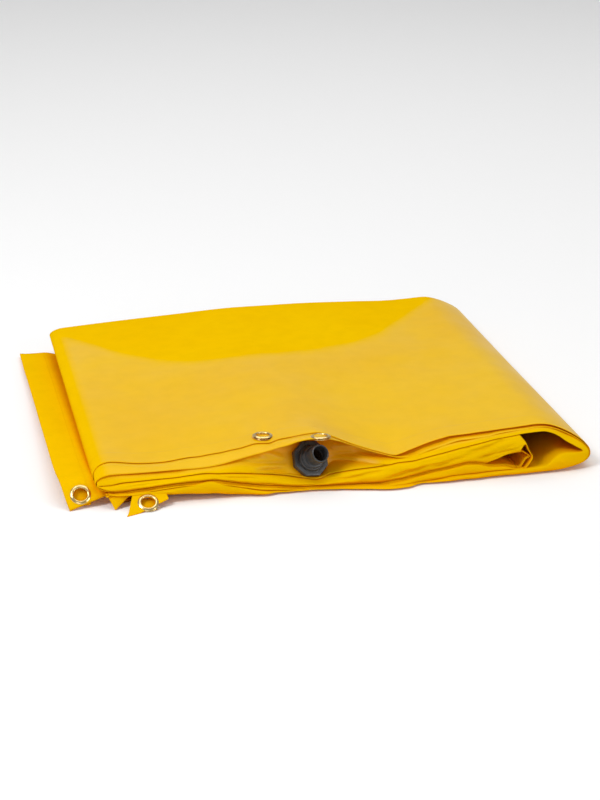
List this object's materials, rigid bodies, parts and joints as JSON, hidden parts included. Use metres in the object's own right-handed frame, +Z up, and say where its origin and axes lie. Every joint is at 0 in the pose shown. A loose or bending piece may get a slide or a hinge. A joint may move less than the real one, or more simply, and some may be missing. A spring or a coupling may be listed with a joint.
{
  "type": "folded drain tarp",
  "caption": "Square vinyl leak-diverting tarp, folded into a flat bundle, with welded hems, brass eyelets and a plastic hose drain fitting at its front fold.",
  "frame": {"origin": "on the ground under the middle of the folded bundle", "axes": "+X along the front edge towards the right fold, +Y from the front fold to the back fold, +Z up"},
  "size_m": [0.7854, 0.7312, 0.075],
  "materials": {
    "yellow_vinyl": "satin",
    "brass_eyelet": "polished",
    "black_plastic": "matte",
    "black_rubber": "matte"
  },
  "bodies": {
    "lower_sheet": {"bottom_pass": "yellow_vinyl", "bottom_hem": "yellow_vinyl", "bottom_eyelets": "brass_eyelet", "bottom_eyelet_washers": "brass_eyelet", "right_fold": "yellow_vinyl"},
    "upper_stack": {"top_layer": "yellow_vinyl", "top_hem": "yellow_vinyl", "top_eyelet": "brass_eyelet", "top_eyelet_washer": "brass_eyelet", "second_layer": "yellow_vinyl", "second_hem": "yellow_vinyl", "second_eyelet": "brass_eyelet", "second_eyelet_washer": "brass_eyelet", "drain_upper_layer": "yellow_vinyl", "drain_lower_layer": "yellow_vinyl", "drain_panel": "yellow_vinyl", "drain_body": "black_plastic", "drain_gasket": "black_rubber", "left_roll": "yellow_vinyl", "second_pass": "yellow_vinyl", "inner_fold": "yellow_vinyl", "third_pass": "yellow_vinyl", "under_corner": "yellow_vinyl", "under_corner_hem": "yellow_vinyl", "under_corner_eyelet": "brass_eyelet", "under_corner_washer": "brass_eyelet"},
    "corner_flap": {"flap_strip": "yellow_vinyl", "flap_hem": "yellow_vinyl", "flap_eyelet": "brass_eyelet", "flap_eyelet_washer": "brass_eyelet"},
    "slip_washer": {"nut_washer": "black_plastic"},
    "locknut_body": {"locknut": "black_plastic"}
  },
  "joints": [
    {"name": "book_fold", "type": "hinge", "parent": "lower_sheet", "child": "upper_stack", "pos_m": [0.333, 0, 0.037], "axis": [0, 1, 0], "range_deg": [0, 180], "deforming": ["right_fold"]},
    {"name": "flap_lift", "type": "hinge", "parent": "upper_stack", "child": "corner_flap", "pos_m": [-0.368, 0, 0.0205], "axis": [0, 0.9991, -0.0422], "range_deg": [0, 60]},
    {"name": "washer_slide", "type": "slide", "parent": "upper_stack", "child": "slip_washer", "axis": [0.2338, -0.8152, 0.5299], "range_m": [0, 0.011]},
    {"name": "nut_spin", "type": "hinge", "parent": "slip_washer", "child": "locknut_body", "pos_m": [-0.0466, -0.31029, 0.03558], "axis": [0.2338, -0.8152, 0.5299], "range_deg": [0, 1800]}
  ],
  "couplings": [
    {"joint": "nut_spin", "follows": "washer_slide", "rad_per_m": 2856}
  ]
}
